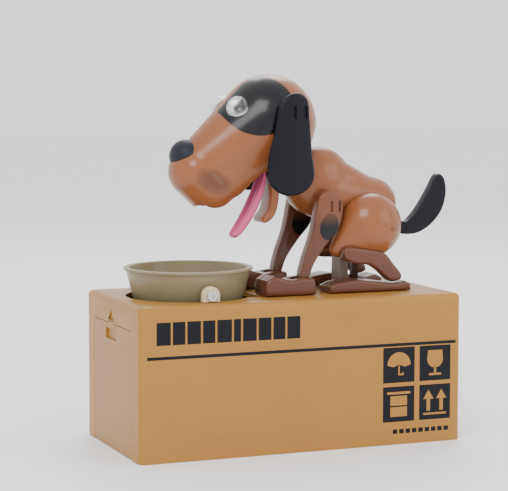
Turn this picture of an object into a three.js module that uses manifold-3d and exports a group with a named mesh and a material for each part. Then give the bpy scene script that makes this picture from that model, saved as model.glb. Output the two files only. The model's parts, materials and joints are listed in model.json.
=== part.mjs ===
// Mechanical coin bank: a nodding dog on a box, feeding from a tipping bowl.
// Millimetres, +Z up. The dog faces -X, so its left side is -Y.
import * as THREE from 'three';
import { mergeVertices } from 'three/addons/utils/BufferGeometryUtils.js';
import Module from 'manifold-3d';

const wasm = await Module();
wasm.setup();

// ---- driving dimensions -------------------------------------------------
const boxLength = 170;
const boxDepth = 84;
const boxHeight = 74.3;
const wall = 2.2;
const edgeRound = 2.5;
const cornerRound = 3.5;
const gap = 0.3; // between pieces that touch
const play = 0.35; // around anything that turns or slides
const floorThick = 2.2;
const past = 1; // cutters run this far past a face

const doorWidth = 59;
const doorDrop = 12.3; // wall left above the door
const doorThick = 2.2;
const doorPinRadius = 1;
const hingeBoss = 5; // width of the block each door pin turns in
const pinReach = 2.8; // how far each door pin goes into it
const latchWidth = 8;
const pullWidth = 16;
const pullHeight = 5;
const pullDrop = 8; // door top down to the foot of the finger pull
const pullDepth = 1.2;
const latchY = 2;

const bowlX = -45.5;
const bowlRim = 32;
const bowlBase = 27;
const bowlDepth = 18;
const bowlRimZ = 14.2; // above the box top
const bowlWall = 1.6;
const bowlLip = 1.3;
const bowlAxisZ = 3.3;
const lugRadius = 2.6; // round bosses the bowl tips on
const screwRadius = 1.2;
const screwHead = 2.5;
const coinWay = 28; // width of the coin's way out of the bowl
const coinDrop = 7.6; // gap it falls through, between bowl floor and box top
const bracketWidth = 8.7;
const bracketThick = 3;
const bracketHeight = 7.7;

const hip = [37, 39.7]; // X and height above the box top
const rodArm = 8; // push rod pin behind the hip
const rodPinDrop = 2;
const shoulder = [21.4, 44.2];
const neck = [8, 73.7];
const jawPivot = [-2, 64.7];
const earPivot = [-1.5, 93.7];
const skull = [-3, 84.7];
const skullRadius = 24.3;
const muzzle = [-42.5, 61];
const muzzleRadius = 12.5;
const jowl = [-34.4, 53.8];
const jowlRadius = 13;
const jowlFlat = 1.1;
const headFlat = 0.947; // head width over its height
const shellWall = 1.8;
const chest = [24, 54.7];
const chestRadius = 18;
const chestFlat = 0.74;
const loin = [30, 49.7];
const loinRadius = 13;
const rump = [54, 43.2];
const rumpRadius = 13.4;

const pinRadius = 1.6;
const bossWall = 2;
const postThick = 4.2;
const postWidth = 12.3;
const rodThick = 3;
const rodWidth = 4;

const pawY = 17.5; // middle of each front paw
const pawWidth = 16.6;
const footY = 16.5;
const footWidth = 15;
const legInner = 14.3; // inner face of the legs, from the middle
const legThick = 6.4;
const thighOuter = 28;

const gearModule = 0.8;
const pinionTeeth = 10;
const wheelTeeth = 30;
const crankTeeth = 36;
const gearThick = 2.6;
const camRadius = 5;
const camThrow = 0.9;
const rodTravel = 1.8;
const axleRadius = 1.5;
const gearRoom = 2.76; // between the crank gear and the post's foot
const footThick = 2; // post's foot and the gearbox flanges
const motorLength = 25;
const motorWidth = 20;
const motorHeight = 15;
const motorCorner = 6;

const cellLength = 50.5;
const cellRadius = 7.25;
const trayClear = 1.1; // between the divider and the battery tray
const cellGap = 0.8; // between the two cells
const trayWall = 1.3;
const bayRim = 0.9; // tray edge seen from below, past the cells

// ---- materials ----------------------------------------------------------
function paint(colour, roughness, metalness = 0) {
  return new THREE.MeshStandardMaterial({ color: colour, roughness, metalness });
}
const kraft = () => paint(0xc09a5c, 0.35);
const tan = () => paint(0xb06f48, 0.35);
const dusk = () => paint(0x8a5440, 0.4);
const navy = () => paint(0x1d2130, 0.5);
const olive = () => paint(0xa39a7c, 0.4);
const cream = () => paint(0xd8c99b, 0.45);
const taupe = () => paint(0x8d8478, 0.5);
const white = () => paint(0xe8e6df, 0.5);
const steel = () => paint(0xb9bbbd, 0.3, 1);

// ---- solids -------------------------------------------------------------
function solid(geometry) {
  const bare = geometry.clone();
  bare.deleteAttribute('normal');
  bare.deleteAttribute('uv');
  const whole = mergeVertices(bare, 1e-4);
  const vertProperties = new Float32Array(whole.attributes.position.array);
  const triVerts = new Uint32Array(whole.index.array);
  return new wasm.Manifold(new wasm.Mesh({ numProp: 3, vertProperties, triVerts }));
}

function block(x0, x1, y0, y1, z0, z1) {
  const shape = new THREE.BoxGeometry(x1 - x0, y1 - y0, z1 - z0);
  return solid(shape.translate((x0 + x1) / 2, (y0 + y1) / 2, (z0 + z1) / 2));
}

// A round bar along Y between y0 and y1, centred on (x, z).
function barY([x, z], y0, y1, radius, sides = 20) {
  const shape = new THREE.CylinderGeometry(radius, radius, y1 - y0, sides);
  return solid(shape.translate(x, (y0 + y1) / 2, z));
}

function barZ([x, y], z0, z1, radius, sides = 20) {
  const shape = new THREE.CylinderGeometry(radius, radius, z1 - z0, sides);
  return solid(shape.rotateX(Math.PI / 2).translate(x, y, (z0 + z1) / 2));
}

function ball([x, z], y, [rx, ry, rz], around = 16, down = 10) {
  const shape = new THREE.SphereGeometry(1, around, down);
  return solid(shape.scale(rx, ry, rz).translate(x, y, z));
}

function outline(points, smooth = false) {
  const shape = new THREE.Shape();
  if (smooth) {
    const ends = points.map(([x, z]) => new THREE.Vector3(x, z, 0));
    const curve = new THREE.CatmullRomCurve3(ends, true, 'centripetal');
    const ring = curve.getPoints(points.length * 2).slice(0, -1);
    shape.setFromPoints(ring.map((p) => new THREE.Vector2(p.x, p.y)));
  } else {
    shape.setFromPoints(points.map(([x, z]) => new THREE.Vector2(x, z)));
  }
  return shape;
}

// A side profile (X and Z) run across from y0 to y1, edges rounded by `round`.
function acrossY(shape, y0, y1, round = 0, steps = 3) {
  const flat = new THREE.ExtrudeGeometry(shape, {
    depth: y1 - y0 - 2 * round,
    bevelEnabled: round > 0,
    bevelThickness: round,
    bevelSize: round,
    bevelOffset: -round,
    bevelSegments: steps,
    curveSegments: 8,
  });
  return solid(flat.rotateX(Math.PI / 2).translate(0, y1 - round, 0));
}

function roundedRect(width, height, radius) {
  const shape = new THREE.Shape();
  const x = width / 2;
  const y = height / 2;
  const quarter = Math.PI / 2;
  shape.absarc(x - radius, y - radius, radius, 0, quarter);
  shape.absarc(radius - x, y - radius, radius, quarter, 2 * quarter);
  shape.absarc(radius - x, radius - y, radius, 2 * quarter, 3 * quarter);
  shape.absarc(x - radius, radius - y, radius, 3 * quarter, 4 * quarter);
  return shape;
}

// Two balls of different size joined by their tangent cone, axis in the XZ plane.
function roundedCone([ax, az], ra, [bx, bz], rb, flat = 1, sides = 20, steps = 5) {
  const length = Math.hypot(bx - ax, bz - az);
  const lean = Math.asin((ra - rb) / length);
  const profile = [];
  for (let i = 0; i <= steps; i += 1) {
    const angle = -Math.PI / 2 + (i / steps) * (Math.PI / 2 + lean);
    profile.push(new THREE.Vector2(ra * Math.cos(angle), ra * Math.sin(angle)));
  }
  for (let i = 0; i <= steps; i += 1) {
    const angle = lean + (i / steps) * (Math.PI / 2 - lean);
    profile.push(new THREE.Vector2(rb * Math.cos(angle), length + rb * Math.sin(angle)));
  }
  profile[0].x = 0;
  profile[profile.length - 1].x = 0;
  const shape = new THREE.LatheGeometry(profile, sides);
  shape.scale(1, 1, flat);
  shape.rotateX(Math.PI / 2); // axis now +Z, flattened across Y
  shape.rotateY(Math.atan2(bx - ax, bz - az));
  return solid(shape.translate(ax, 0, az));
}

function cutAll(body, ...cutters) {
  return cutters.reduce((left, cutter) => left.subtract(cutter), body);
}

function joinAll(...pieces) {
  return pieces.reduce((sum, piece) => sum.add(piece));
}

function mirrored(body, side) {
  return side < 0 ? body : body.mirror([0, 1, 0]);
}

function toMesh(name, body, material, parent) {
  const { vertProperties, triVerts } = body.getMesh();
  const geometry = new THREE.BufferGeometry();
  geometry.setAttribute('position', new THREE.BufferAttribute(vertProperties, 3));
  geometry.setIndex(new THREE.BufferAttribute(triVerts, 1));
  geometry.computeVertexNormals();
  const mesh = new THREE.Mesh(geometry, material);
  mesh.name = name;
  parent.add(mesh);
  return mesh;
}

// ---- groups: the box stands on Z = 0, everything above hangs on its top ---
const bank = new THREE.Group();
const boxGroup = new THREE.Group();
const topGroup = new THREE.Group();
topGroup.position.z = boxHeight;
bank.add(boxGroup, topGroup);
const halfLength = boxLength / 2;
const halfDepth = boxDepth / 2;
const innerX = halfLength - wall;
const innerY = halfDepth - wall;
const coinHole = { x0: -32, x1: -15.4, halfWidth: 20 };
const postSlot = [hip[0] - postThick / 2 - play, hip[0] + postThick / 2 + play];
const rodX = hip[0] + rodArm;
const dividerX = -8;
const dividerThick = 2;
const trayInnerX = 2 * cellRadius + cellGap + gap;
const trayX = dividerX + dividerThick + trayClear + trayWall + trayInnerX;
const doorTop = boxHeight - doorDrop;
const hingeIn = 2.4;
const doorHinge = [-halfLength + hingeIn, 2.6];
const batteryBayX = [trayX - trayInnerX - bayRim, trayX + trayInnerX + bayRim];
const batteryBayY = cellLength / 2 + 4;

// ---- box ------------------------------------------------------------------
function makeBox() {
  const shape = new THREE.ExtrudeGeometry(roundedRect(boxLength, boxDepth, cornerRound), {
    depth: boxHeight,
    bevelThickness: edgeRound,
    bevelSize: edgeRound,
    bevelOffset: -edgeRound,
    bevelSegments: 3,
    curveSegments: 4,
  });
  const outer = solid(shape.translate(0, 0, -edgeRound));
  const doorY = doorWidth / 2;
  const throughTop = [boxHeight - wall - past, boxHeight + past];
  const hollow = block(-innerX, innerX, -innerY, innerY, -past, boxHeight - wall);
  const bossX = [-halfLength + gap, -halfLength + hingeIn + 3.6];
  const bosses = joinAll(...[-1, 1].map((side) => mirrored(
    block(...bossX, -doorY - hingeBoss, -doorY, 0.2, 6), side)));
  const body = cutAll(
    outer,
    block(-boxLength, boxLength, -boxDepth, boxDepth, -3 * edgeRound, 0),
    hollow,
  ).add(bosses);
  const notchY = latchWidth / 2 + play;
  const recess = acrossX([[latchY - 5, doorTop + 1.4], [latchY + 4.5, doorTop + 1.4],
    [latchY - 0.4, doorTop + 6.6]], -halfLength - 1, -halfLength + 1);
  return cutAll(
    body,
    block(-halfLength - past, -innerX + 0.01, -doorY, doorY, -past, doorTop),
    block(-halfLength - past, -innerX + 0.01, latchY - notchY, latchY + notchY, doorTop - 1, doorTop + 1),
    recess,
    barY(doorHinge, -doorY - pinReach - 0.4, doorY + pinReach + 0.4, doorPinRadius + play),
    barZ([bowlX, 0], ...throughTop, bowlRim - 1, 36),
    block(coinHole.x0, coinHole.x1, -coinHole.halfWidth, coinHole.halfWidth,
      ...throughTop),
    block(...postSlot, -postWidth / 2 - play, postWidth / 2 + play,
      ...throughTop),
    block(rodX - rodThick / 2 - play, rodX + rodThick / 2 + play, -rodWidth / 2 - play,
      rodWidth / 2 + play, ...throughTop),
  );
}

// An outline in Y and Z run along X.
function acrossX(points, x0, x1, round = 0) {
  const shape = new THREE.ExtrudeGeometry(outline(points), {
    depth: x1 - x0 - 2 * round,
    bevelEnabled: round > 0,
    bevelThickness: round,
    bevelSize: round,
    bevelOffset: -round,
    bevelSegments: 2,
    curveSegments: 8,
  });
  shape.rotateX(Math.PI / 2);
  shape.rotateZ(Math.PI / 2);
  return solid(shape.translate(x0 + round, 0, 0));
}

function makeDoor() {
  const y = doorWidth / 2 - gap;
  const outer = -halfLength;
  const top = doorTop - gap;
  const slab = block(outer, outer + doorThick, -y, y, 0.6, top);
  const tab = block(outer, outer + doorThick, latchY - latchWidth / 2, latchY + latchWidth / 2,
    top - 1, doorTop + 0.7);
  const pull = block(outer - past, outer + pullDepth, latchY - pullWidth / 2, latchY + pullWidth / 2,
    doorTop - pullDrop, doorTop - pullDrop + pullHeight);
  const rib = block(outer + doorThick - 0.01, outer + doorThick + 1, -y + 3, y - 3, 12, 13.5);
  const pins = barY(doorHinge, -y - pinReach, y + pinReach, doorPinRadius, 16);
  return joinAll(slab, tab, rib, pins).subtract(pull);
}

toMesh('box_shell', makeBox(), kraft(), boxGroup);
toMesh('coin_door', makeDoor(), kraft(), boxGroup);

const switchPlace = { x0: 38, x1: 52, y0: 23.5, y1: 32.5 };
const switchSlot = { x0: 40.6, x1: 49.4, y0: 25.6, y1: 30.4 };
const coverBolt = [batteryBayX[1] - 4, 0];

function makeBase() {
  const plate = block(doorHinge[0] + 5.4, innerX - gap, -innerY + gap, innerY - gap, 0, floorThick);
  const { x0, x1, y0, y1 } = switchSlot;
  return cutAll(
    plate,
    block(batteryBayX[0], batteryBayX[1], -batteryBayY, batteryBayY, -1, floorThick + 1),
    block(x0, x1, y0, y1, -1, floorThick + 1),
  );
}
toMesh('base_plate', makeBase(), kraft(), boxGroup);

const divider = block(dividerX, dividerX + dividerThick, -innerY + gap, innerY - gap,
  floorThick + gap, boxHeight - wall - gap);
toMesh('divider_wall', divider, taupe(), boxGroup);

// ---- battery bay ----------------------------------------------------------
const trayFloor = floorThick + gap;
const cellZ = trayFloor + 1 + cellRadius + gap;
const cellX = [-1, 1].map((way) => trayX + way * (cellRadius + cellGap / 2));
const trayTop = cellZ + cellRadius + gap + 1.2;
const tray = cutAll(
  block(trayX - trayInnerX - trayWall, trayX + trayInnerX + trayWall, -batteryBayY, batteryBayY,
    trayFloor, trayTop),
  block(trayX - trayInnerX, trayX + trayInnerX, -cellLength / 2 - 2.6, cellLength / 2 + 2.6,
    trayFloor - 1, trayTop - 1.2),
);
toMesh('battery_tray', tray, taupe(), boxGroup);
cellX.forEach((x, i) => {
  const way = i === 0 ? 1 : -1;
  const can = solid(new THREE.CylinderGeometry(cellRadius, cellRadius, cellLength - 1.5, 24)
    .translate(x, -way * 0.75, cellZ));
  const tip = barY([x, cellZ], -0.5, 0.5, 2.6, 14)
    .translate([0, way * (cellLength / 2 - 1), 0]);
  toMesh(`battery_${i + 1}`, can.add(tip), paint(0x3c5f8a, 0.35, 0.3), boxGroup);
});
[-1, 1].forEach((side) => {
  const plate = mirrored(block(cellX[0] - 5, cellX[1] + 5, -cellLength / 2 - 2.1,
    -cellLength / 2 - 1.5, cellZ - 5, cellZ + 5), side);
  toMesh(`battery_contact_${side < 0 ? 'near' : 'far'}`, plate, steel(), boxGroup);
});
const cover = block(batteryBayX[0] + gap, batteryBayX[1] - gap, -batteryBayY + gap,
  batteryBayY - gap, 0, floorThick - 0.2);
const boltHead = 2.4;
toMesh('battery_cover', cutAll(cover, barZ(coverBolt, -1, 1.3, boltHead + play),
  barZ(coverBolt, -1, 4, 1.2)), kraft(), boxGroup);
const bolt = barZ(coverBolt, 0.1, 1, boltHead, 16).add(barZ(coverBolt, 0.9, 2.3, 0.9, 12));
toMesh('battery_cover_screw', bolt, steel(), boxGroup);

// ---- power switch -----------------------------------------------------------
const switchBody = cutAll(
  block(switchPlace.x0, switchPlace.x1, switchPlace.y0, switchPlace.y1, floorThick + gap, 8),
  block(switchSlot.x0, switchSlot.x1, switchSlot.y0, switchSlot.y1, 1, 6.2),
);
toMesh('switch_body', switchBody, taupe(), boxGroup);
const sliderStart = switchSlot.x0 + play;
const slider = block(sliderStart, sliderStart + 4, switchSlot.y0 + play, switchSlot.y1 - play, 0.4, 5.8);
toMesh('switch_slider', slider, navy(), boxGroup);

// ---- drive: motor, two gear steps, cam and push rod --------------------------
const pitch = (teeth) => (gearModule * teeth) / 2;
const meshGap = 0.15;
const stepOne = pitch(pinionTeeth) + pitch(wheelTeeth) + meshGap;
const stepTwo = pitch(pinionTeeth) + pitch(crankTeeth) + meshGap;
const tipRadius = (teeth) => pitch(teeth) + 0.8 * gearModule;
const plateTop = -wall - gap;
const crank = [rodX, plateTop - footThick - gearRoom - tipRadius(crankTeeth)];
const wheelWay = THREE.MathUtils.degToRad(-20);
const motorWay = THREE.MathUtils.degToRad(-75);
const wheel = [crank[0] + stepTwo * Math.cos(wheelWay), crank[1] + stepTwo * Math.sin(wheelWay)];
const motorAt = [wheel[0] + stepOne * Math.cos(motorWay), wheel[1] + stepOne * Math.sin(motorWay)];
const crankY = [5, 5 + gearThick];
const wheelY = [crankY[1] + 0.8, crankY[1] + 0.8 + gearThick];
const plateThick = 2;
const motorFront = crankY[0] - gap - 0.4;
const plateY = [motorFront - motorLength - gap - plateThick, wheelY[1] + 3];

function gearShape(teeth, phase) {
  const half = Math.PI * gearModule * 0.5;
  const radii = [pitch(teeth) - 0.95 * gearModule, tipRadius(teeth)];
  const widths = [0.56 * half, 0.24 * half];
  const points = [];
  for (let i = 0; i < teeth; i += 1) {
    const middle = phase + (i * 2 * Math.PI) / teeth;
    const place = (which, way) => {
      const angle = middle + (way * widths[which]) / radii[which];
      points.push([radii[which] * Math.cos(angle), radii[which] * Math.sin(angle)]);
    };
    place(0, -1);
    place(1, -1);
    place(1, 1);
    place(0, 1);
  }
  return outline(points);
}

function gear(teeth, phase, [x, z], y0, y1) {
  return acrossY(gearShape(teeth, phase), y0, y1).translate([x, 0, z]);
}
const facing = (way, teeth) => way + Math.PI + Math.PI / teeth;

const cam = barY([crank[0], crank[1] - camThrow], -rodWidth / 2, crankY[0] + 0.01, camRadius, 28);
const crankGear = joinAll(gear(crankTeeth, wheelWay, crank, ...crankY), cam);
toMesh('crank_gear', crankGear.subtract(barY(crank, -9, 19, axleRadius + play)), white(), topGroup);

const compound = joinAll(
  gear(pinionTeeth, facing(wheelWay, pinionTeeth), wheel, crankY[0], crankY[1] + 0.81),
  gear(wheelTeeth, motorWay, wheel, ...wheelY),
);
toMesh('compound_gear', compound.subtract(barY(wheel, 0, 19, axleRadius + play)), white(), topGroup);

const pinionBore = 1;
const pinion = gear(pinionTeeth, facing(motorWay, pinionTeeth), motorAt, wheelY[0], wheelY[1] + 0.4);
toMesh('motor_pinion', pinion.subtract(barY(motorAt, 0, 19, pinionBore + play)), white(), topGroup);

const motorShape = roundedRect(motorWidth, motorHeight, motorCorner);
const motorBody = acrossY(motorShape, motorFront - motorLength, motorFront)
  .translate([motorAt[0], 0, motorAt[1]]);
const motor = motorBody.add(barY(motorAt, motorFront - 0.01, wheelY[1] + 1, pinionBore, 14));
toMesh('motor', motor, steel(), topGroup);

const axleEnds = [plateY[0] + 0.4, plateY[1] + plateThick - 0.4];
toMesh('crank_axle', barY(crank, ...axleEnds, axleRadius, 16), steel(), topGroup);
toMesh('compound_axle', barY(wheel, ...axleEnds, axleRadius, 16), steel(), topGroup);

const flangeWide = 5;
const plateBottom = motorAt[1] - motorHeight / 2 - 3;
const plateX = [rodX - 9, motorAt[0] + motorWidth / 2 + 1.2];
const shelfZ = motorAt[1] - motorHeight / 2 - gap;
plateY.forEach((y, i) => {
  const plate = block(plateX[0], plateX[1], y, y + plateThick, plateBottom, plateTop);
  const flangeY = i === 0 ? [y - flangeWide, y + 0.01]
    : [y + plateThick - 0.01, y + plateThick + flangeWide];
  const flange = block(plateX[0], plateX[1], ...flangeY, plateTop - footThick, plateTop);
  const parts = [plate, flange];
  if (i === 0) {
    parts.push(block(motorAt[0] - motorWidth / 2, motorAt[0] + motorWidth / 2, y + plateThick - 0.01,
      motorFront, plateBottom, shelfZ));
  }
  const holes = [crank, wheel].map((at) => barY(at, y - 1, y + plateThick + 1, axleRadius + gap));
  toMesh(`gearbox_plate_${i === 0 ? 'near' : 'far'}`, cutAll(joinAll(...parts), ...holes),
    taupe(), topGroup);
});
const spacerY = [plateY[0] + plateThick + gap, plateY[1] - gap];
const spacerAt = [plateX[0] + 4, plateBottom + 4];
toMesh('gearbox_spacer', barY(spacerAt, ...spacerY, 2.2, 16), taupe(), topGroup);

const rodPin = [rodX, hip[1] - rodPinDrop];
const yokeWide = camRadius + camThrow + play;
const yokeTop = crank[1] + camRadius + camThrow + play;
const yokeBottom = crank[1] - camRadius - camThrow - rodTravel - play;
const yokeRim = 2.6;
const pinSlotRadius = pinRadius + 0.75; // the pin drifts a little as the torso swings
const rod = cutAll(
  joinAll(
    block(rodX - yokeWide - yokeRim, rodX + yokeWide + yokeRim, -rodWidth / 2, rodWidth / 2,
      yokeBottom - yokeRim, yokeTop + yokeRim),
    block(rodX - rodThick / 2, rodX + rodThick / 2, -rodWidth / 2, rodWidth / 2, yokeTop, rodPin[1]),
    barY(rodPin, -rodWidth / 2, rodWidth / 2, pinSlotRadius + 1.4, 22),
  ),
  block(rodX - yokeWide, rodX + yokeWide, -rodWidth, rodWidth, yokeBottom, yokeTop),
  barY(rodPin, -rodWidth, rodWidth, pinSlotRadius, 22),
);
toMesh('push_rod', rod, paint(0x4a3a33, 0.5), topGroup);

const boardX = dividerX + dividerThick + gap;
const boardZ = [trayTop - boxHeight + 8.5, plateTop - 11.5];
const board = block(boardX, boardX + 1.6, -22, 22, ...boardZ);
toMesh('circuit_board', board, paint(0x2f6b45, 0.5), topGroup);
const sensor = block(dividerX - 6.3, dividerX - gap, -5, 5, -16, -8)
  .add(block(dividerX - 9.5, dividerX - 6.29, -1.5, 1.5, -11.5, -9.5));
toMesh('bowl_switch', sensor, navy(), topGroup);

// ---- bowl --------------------------------------------------------------------
const bowlBottom = bowlRimZ - bowlDepth;
const bowlAt = (z) => bowlBase + ((bowlRim - 0.9 - bowlBase) * (z - bowlBottom)) / bowlDepth;
const bowlAxis = [bowlX - 0.8, bowlAxisZ];
const bracketY = bowlAt(bowlAxisZ + bracketHeight) + 1.4; // inner face of each bracket

function makeBowl() {
  const v = (r, z) => new THREE.Vector2(r, z);
  const lipZ = bowlRimZ - bowlLip;
  const profile = [
    v(0, bowlBottom), v(bowlBase - 1.5, bowlBottom), v(bowlBase, bowlBottom + 1.2),
    v(bowlAt(lipZ), lipZ), v(bowlRim, lipZ), v(bowlRim, bowlRimZ),
    v(bowlRim - bowlLip - bowlWall, bowlRimZ), v(bowlAt(bowlBottom + 3.4) - bowlWall, bowlBottom + 3.4),
    v(bowlBase - 4, bowlBottom + bowlWall), v(0, bowlBottom + bowlWall),
  ];
  const cup = new THREE.LatheGeometry(profile, 36).rotateX(Math.PI / 2);
  const half = coinWay / 2;
  const floorEdge = coinHole.x1 - coinDrop;
  const door = block(floorEdge, floorEdge + 20, -half, half, bowlBottom - 1, bowlBottom + 7);
  const bossOut = bracketY - 0.6;
  const bosses = [-1, 1].map((side) => mirrored(
    barY(bowlAxis, -bossOut, -bowlAt(bowlAxisZ) + 0.8, lugRadius, 18), side));
  const bores = [-1, 1].map((side) => mirrored(
    barY(bowlAxis, -bossOut - 1, -bossOut + 2.2, screwRadius + play, 16), side));
  const body = joinAll(solid(cup).translate([bowlX, 0, 0]), ...bosses);
  return cutAll(body, door, ...bores);
}
toMesh('bowl', makeBowl(), olive(), topGroup);

const lugX = bowlAxis[0];
function makeBracket() {
  const half = bracketWidth / 2;
  const shape = new THREE.Shape();
  shape.moveTo(lugX - half, gap);
  shape.lineTo(lugX + half, gap);
  shape.lineTo(lugX + half, bracketHeight - half);
  shape.absarc(lugX, bracketHeight - half, half, 0, Math.PI);
  const plate = acrossY(shape, -bracketY - bracketThick, -bracketY);
  return plate.subtract(barY(bowlAxis, -60, -20, screwRadius + play, 16));
}
['left', 'right'].forEach((name, i) => {
  const side = i === 0 ? -1 : 1;
  toMesh(`bowl_bracket_${name}`, mirrored(makeBracket(), side), cream(), topGroup);
  const headY = -bracketY - bracketThick - gap;
  const screw = joinAll(
    barY(bowlAxis, headY - 1.3, headY, screwHead, 20),
    barY(bowlAxis, headY - 0.01, -bracketY + 2, screwRadius, 14),
  );
  const cross = [[1.6, 0.35], [0.35, 1.6]].map(([x, z]) => block(bowlAxis[0] - x, bowlAxis[0] + x,
    headY - 2, headY - 0.6, bowlAxis[1] - z, bowlAxis[1] + z));
  toMesh(`bowl_screw_${name}`, mirrored(cutAll(screw, ...cross), side), steel(), topGroup);
});

// ---- post and pins -------------------------------------------------------------
const postHead = 4;
const post = joinAll(
  acrossX([[-postWidth / 2, plateTop - 1], [postWidth / 2, plateTop - 1],
    [postHead, hip[1] + 1], [-postHead, hip[1] + 1]], hip[0] - postThick / 2, hip[0] + postThick / 2),
  barY(hip, -postHead, postHead, postHead, 20),
  block(hip[0] - 6, hip[0] + 6, -10, 10, plateTop - footThick, plateTop),
);
toMesh('support_post', post.subtract(barY(hip, -9, 9, pinRadius + play)), taupe(), topGroup);

// ---- torso ----------------------------------------------------------------------
function torsoSkin(less) {
  const chestBall = ball(chest, 0, [chestRadius - less, chestRadius * chestFlat - less,
    chestRadius - less], 20, 12);
  return chestBall.add(roundedCone(loin, loinRadius - less, rump, rumpRadius - less, 1, 20, 4));
}
const bossRadius = pinRadius + bossWall;
const torsoInside = chestRadius * chestFlat - shellWall;
const neckLinkRadius = 4.5;
const neckFoot = [22, 58];
const neckRoot = roundedCone(neckFoot, neckLinkRadius + play, neck, neckLinkRadius + play, 1, 18, 3);

function makeTorso() {
  const shell = torsoSkin(0).subtract(torsoSkin(shellWall));
  const boss = (at, inner) => joinAll(...[-1, 1].map((side) => mirrored(
    barY(at, -torsoInside, -inner, bossRadius, 18), side))).intersect(torsoSkin(0.2));
  const bored = joinAll(shell, boss(hip, 7), boss(rodPin, 6.2), boss(shoulder, 7));
  const slot = block(hip[0] - 8, rodX + 8, -5.2, 5.2, 0, hip[1] + 1);
  return cutAll(
    bored,
    slot,
    neckRoot,
    barY(hip, -torsoInside + 0.4, torsoInside - 0.4, pinRadius + gap, 16),
    barY(rodPin, -torsoInside + 0.4, torsoInside - 0.4, pinRadius + gap, 16),
    barY(shoulder, -30, 30, pinRadius + gap, 16),
  );
}
const torso = makeTorso();
const leftHalf = (body, split = gap / 2) => body.subtract(block(-150, 150, -split, 100, -100, 200));
const rightHalf = (body, split = gap / 2) => body.subtract(block(-150, 150, -100, split, -100, 200));
toMesh('torso_left', leftHalf(torso), tan(), topGroup);
toMesh('torso_right', rightHalf(torso), tan(), topGroup);
const innerPin = torsoInside - 0.8;
toMesh('hip_pin', barY(hip, -innerPin, innerPin, pinRadius, 16), steel(), topGroup);
toMesh('rod_pin', barY(rodPin, -innerPin, innerPin, pinRadius, 16), steel(), topGroup);
const shoulderReach = legInner + legThick - 1.8;
toMesh('shoulder_pin', barY(shoulder, -shoulderReach, shoulderReach, pinRadius, 16), steel(), topGroup);
const linkHalf = 5;
const neckLink = roundedCone(neckFoot, neckLinkRadius, neck, neckLinkRadius, 1, 18, 3)
  .intersect(block(-50, 60, -linkHalf, linkHalf, 0, 120));
toMesh('neck_link', neckLink.subtract(barY(neck, -9, 9, pinRadius + play)), dusk(), topGroup);

// ---- head ---------------------------------------------------------------------------
function headSkin(more) {
  const top = roundedCone(skull, skullRadius + more, muzzle, muzzleRadius + more, headFlat, 24, 6);
  const side = roundedCone(skull, skullRadius + more - 1, jowl, jowlRadius + more, headFlat, 24, 5);
  const front = roundedCone(jowl, jowlRadius + more, muzzle, muzzleRadius + more, jowlFlat, 20, 4);
  return joinAll(top, side, front);
}
const headHalf = skullRadius * headFlat;
const mouthHalf = 8.4;
const neckHalf = 12;
const jawStub = 1.2;
const earStub = 2;
function makeHead() {
  const shell = headSkin(0).subtract(headSkin(-shellWall));
  const lug = (at, inner, radius) => joinAll(...[-1, 1].map((side) => mirrored(
    barY(at, -headHalf, -inner, radius, 18), side))).intersect(headSkin(-0.2));
  const mouth = acrossY(outline([[-43.4, 30], [-42.2, 45], [-30, 53.4], [-12, 64], [-6, 68],
    [6, 68], [30, 74], [34, 30]]), -mouthHalf, mouthHalf);
  const cheek = acrossY(outline([[-29, 30], [-27.4, 43.4], [-21.7, 49], [-16.3, 55.8], [-11, 60.8],
    [-6, 61.6], [12, 61.6], [30, 40], [30, 30]]), -40, 40);
  const nape = acrossY(outline([[4, 50], [4, 66], [12, 82], [30, 82], [40, 50]]), -neckHalf, neckHalf);
  const skin = cutAll(shell, mouth, cheek, nape);
  const lugged = joinAll(skin, lug(neck, 5.6, bossRadius), lug(jawPivot, mouthHalf, 2.9));
  return cutAll(
    lugged,
    barY(neck, -11, 11, pinRadius + gap, 16),
    barY(jawPivot, -11.6, 11.6, jawStub + play, 16),
    barY(earPivot, -40, 40, earStub + play, 18),
  );
}
const earInner = headHalf + 1.2;
const head = makeHead();
toMesh('head_left', leftHalf(head), tan(), topGroup);
toMesh('head_right', rightHalf(head), tan(), topGroup);
toMesh('neck_pin', barY(neck, -10.6, 10.6, pinRadius, 16), steel(), topGroup);

const nose = ball([-46.4, 68.4], 0, [8.6, 9.2, 8.6], 22, 14).subtract(headSkin(gap));
toMesh('nose', nose, navy(), topGroup);

const eyeCentre = [-23.5, 92.4];
const eyeRadius = 6;
const eyeOut = 11.2;
const eyeWall = 0.8;
const beadRadius = 1.9;
['left', 'right'].forEach((name, i) => {
  const side = i === 0 ? -1 : 1;
  const full = ball(eyeCentre, -eyeOut, [eyeRadius, eyeRadius, eyeRadius], 16, 10);
  const room = ball(eyeCentre, -eyeOut, Array(3).fill(eyeRadius - eyeWall), 12, 7);
  const dome = cutAll(full, room, headSkin(gap));
  toMesh(`eye_${name}`, mirrored(dome, side), white(), topGroup);
  const bead = ball([eyeCentre[0] - 1.2, eyeCentre[1] + 0.6], -eyeOut - 1.6,
    Array(3).fill(beadRadius), 12, 8).subtract(headSkin(gap));
  toMesh(`eye_bead_${name}`, mirrored(bead, side), navy(), topGroup);
});

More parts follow.
